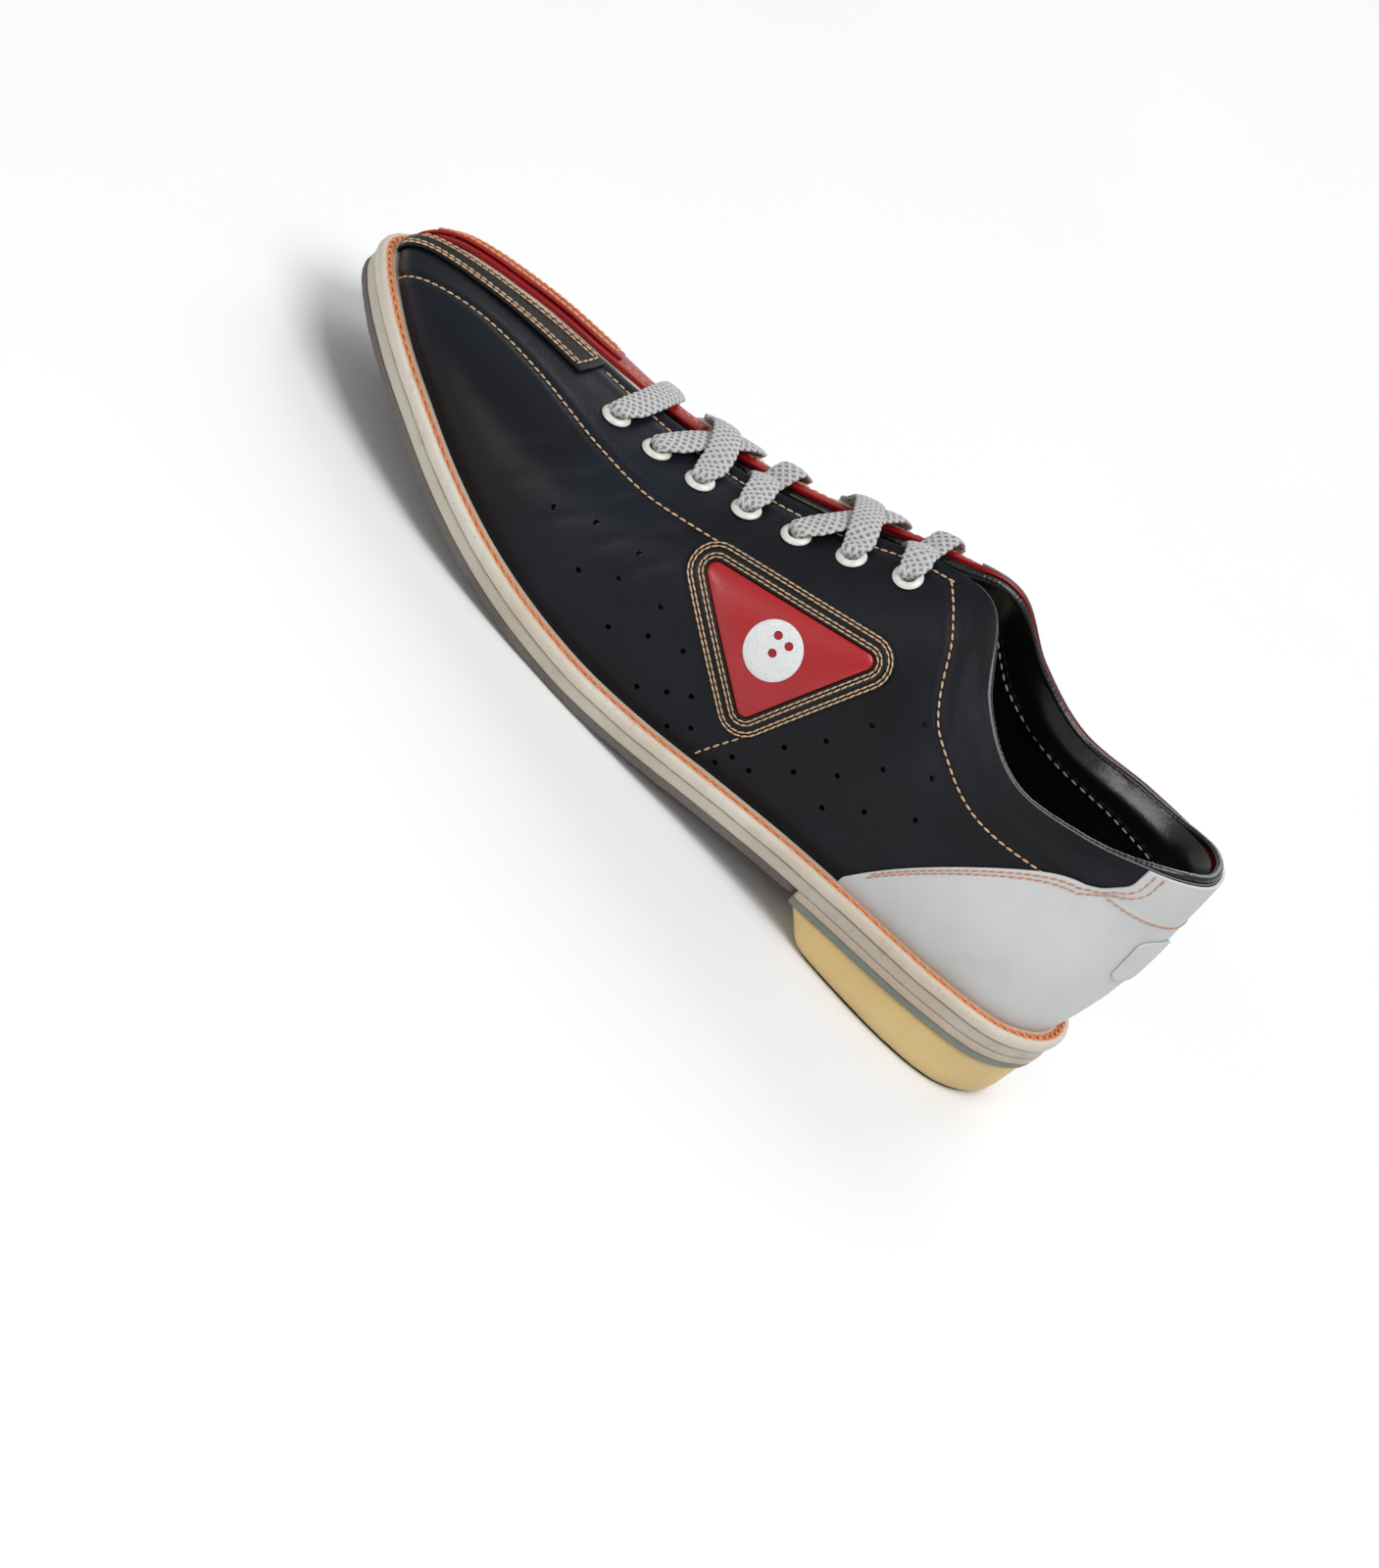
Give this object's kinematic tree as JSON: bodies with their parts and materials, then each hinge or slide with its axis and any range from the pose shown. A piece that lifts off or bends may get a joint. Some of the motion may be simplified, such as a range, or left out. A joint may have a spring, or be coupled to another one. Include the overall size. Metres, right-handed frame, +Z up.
{
  "type": "bowling shoe",
  "caption": "Left lace-up bowling shoe: two-tone leather upper on a stitched welt, layered suede sole, stepped rubber heel, triangular side badge and a hinged padded tongue.",
  "frame": {"origin": "middle of the heel's rest face, on the ground", "axes": "+X to the toe, +Y to the outer (lateral) side of a left shoe, +Z up"},
  "size_m": [0.304, 0.1062, 0.1048],
  "materials": {
    "suede": "napped suede",
    "heel_rubber": "satin crepe rubber",
    "lift_fibre": "matt",
    "lift_leather": "matt edge",
    "midsole": "matt, scuffed",
    "welt": "matt, dirty",
    "orange_thread": "waxed thread",
    "cork": "granular",
    "steel": "plain",
    "board": "fibreboard",
    "footbed": "brushed cloth",
    "navy_leather": "smooth semi-gloss grain",
    "red_leather": "smooth semi-gloss grain",
    "black_leather": "smooth semi-gloss grain",
    "cream_leather": "satin",
    "white_leather": "satin, lightly marked",
    "black_lining": "glossy soft leather",
    "foam": "open cell",
    "tape": "woven tape",
    "eyelet_enamel": "gloss enamel",
    "lace": "flat braid",
    "badge_red": "moulded satin",
    "white_thread": "satin embroidery",
    "peach_thread": "polyester thread",
    "cream_thread": "polyester thread",
    "tongue_lining": "tricot",
    "brown_thread": "polyester thread"
  },
  "bodies": {
    "shoe": {"outsole": "suede", "heel_block": "heel_rubber", "heel_lift_lower": "lift_fibre", "heel_lift_upper": "lift_leather", "midsole": "midsole", "welt": "welt", "welt_stitching": "orange_thread", "cork_filler": "cork", "shank": "steel", "insole_board": "board", "footbed": "footbed", "heel_nails": "steel", "lateral_quarter": "navy_leather", "medial_quarter": "red_leather", "lateral_toe_strip": "black_leather", "medial_toe_strip": "red_leather", "vamp_center": "cream_leather", "heel_foxing": "white_leather", "heel_tab": "white_leather", "size_patch": "white_leather", "heel_stiffener": "board", "toe_puff": "board", "lateral_lining": "black_lining", "medial_lining": "black_lining", "collar_foam": "foam", "lateral_edge_binding": "black_lining", "medial_edge_binding": "black_lining", "lateral_eyestay": "tape", "medial_eyestay": "tape", "lateral_eyelets": "eyelet_enamel", "medial_eyelets": "eyelet_enamel", "lace": "lace", "badge_frame": "black_leather", "badge_insert": "badge_red", "badge_emblem": "white_thread", "lateral_stitching": "peach_thread", "medial_stitching": "orange_thread", "foxing_stitching": "peach_thread", "badge_stitching": "peach_thread", "lining_stitching": "cream_thread"},
    "tongue": {"tongue_outer": "cream_leather", "tongue_padding": "foam", "tongue_lining": "tongue_lining", "tongue_stitching": "brown_thread"}
  },
  "joints": [
    {"name": "tongue_flex", "type": "hinge", "parent": "shoe", "child": "tongue", "pos_m": [0.174, 0, 0.0555], "axis": [0, 1, 0], "range_deg": [-12, 0], "stiffness_Nm_per_rad": 0.06, "springref_deg": 17.19}
  ]
}
